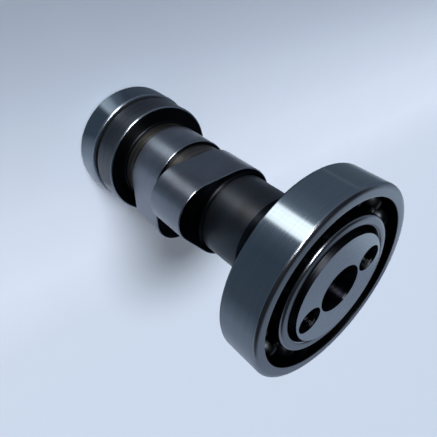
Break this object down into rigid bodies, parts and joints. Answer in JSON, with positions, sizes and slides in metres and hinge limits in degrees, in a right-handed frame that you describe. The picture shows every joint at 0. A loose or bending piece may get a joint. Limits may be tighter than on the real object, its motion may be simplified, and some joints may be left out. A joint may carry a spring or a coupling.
{
  "type": "camshaft",
  "caption": "Engine camshaft with ground cam lobes, an open ball bearing at each end and a drilled and tapped nose for the timing sprocket.",
  "frame": {"origin": "centre of the small end's face, on the surface that the camshaft stands on", "axes": "+Z along the shaft from the small bearing to the nose with the tapped holes; +X through both tapped holes"},
  "size_m": [0.042, 0.042, 0.0723],
  "materials": {
    "camshaft_iron": "ground bearings and lobes, brown-tinted turned necks",
    "bearing_rings": "ground and polished",
    "bearing_balls": "polished",
    "cage_sheet": "pressed sheet, oily",
    "cage_rivets": "plain"
  },
  "bodies": {
    "camshaft": {"camshaft": "camshaft_iron", "large_inner_ring": "bearing_rings", "small_inner_ring": "bearing_rings"},
    "large_outer_ring": {"large_outer_ring": "bearing_rings"},
    "large_cage": {"large_ball_01": "bearing_balls", "large_ball_02": "bearing_balls", "large_ball_03": "bearing_balls", "large_ball_04": "bearing_balls", "large_ball_05": "bearing_balls", "large_ball_06": "bearing_balls", "large_ball_07": "bearing_balls", "large_ball_08": "bearing_balls", "large_ball_09": "bearing_balls", "large_ball_10": "bearing_balls", "large_ball_11": "bearing_balls", "large_ball_12": "bearing_balls", "large_ball_13": "bearing_balls", "large_cage_back": "cage_sheet", "large_cage_front": "cage_sheet", "large_cage_rivets": "cage_rivets"},
    "small_outer_ring": {"small_outer_ring": "bearing_rings"},
    "small_cage": {"small_ball_01": "bearing_balls", "small_ball_02": "bearing_balls", "small_ball_03": "bearing_balls", "small_ball_04": "bearing_balls", "small_ball_05": "bearing_balls", "small_ball_06": "bearing_balls", "small_ball_07": "bearing_balls", "small_ball_08": "bearing_balls", "small_ball_09": "bearing_balls", "small_ball_10": "bearing_balls", "small_cage_back": "cage_sheet", "small_cage_front": "cage_sheet", "small_cage_rivets": "cage_rivets"}
  },
  "joints": [
    {"name": "large_outer_spin", "type": "hinge", "parent": "camshaft", "child": "large_outer_ring", "pos_m": [0, 0, 0.067], "axis": [0, 0, 1], "continuous": true},
    {"name": "large_cage_spin", "type": "hinge", "parent": "camshaft", "child": "large_cage", "pos_m": [0, 0, 0.067], "axis": [0, 0, 1], "continuous": true},
    {"name": "small_outer_spin", "type": "hinge", "parent": "camshaft", "child": "small_outer_ring", "pos_m": [0, 0, 0.0035], "axis": [0, 0, 1], "continuous": true},
    {"name": "small_cage_spin", "type": "hinge", "parent": "camshaft", "child": "small_cage", "pos_m": [0, 0, 0.0035], "axis": [0, 0, 1], "continuous": true}
  ],
  "couplings": [
    {"joint": "large_cage_spin", "follows": "large_outer_spin", "ratio": 0.57104},
    {"joint": "small_cage_spin", "follows": "small_outer_spin", "ratio": 0.58447}
  ]
}
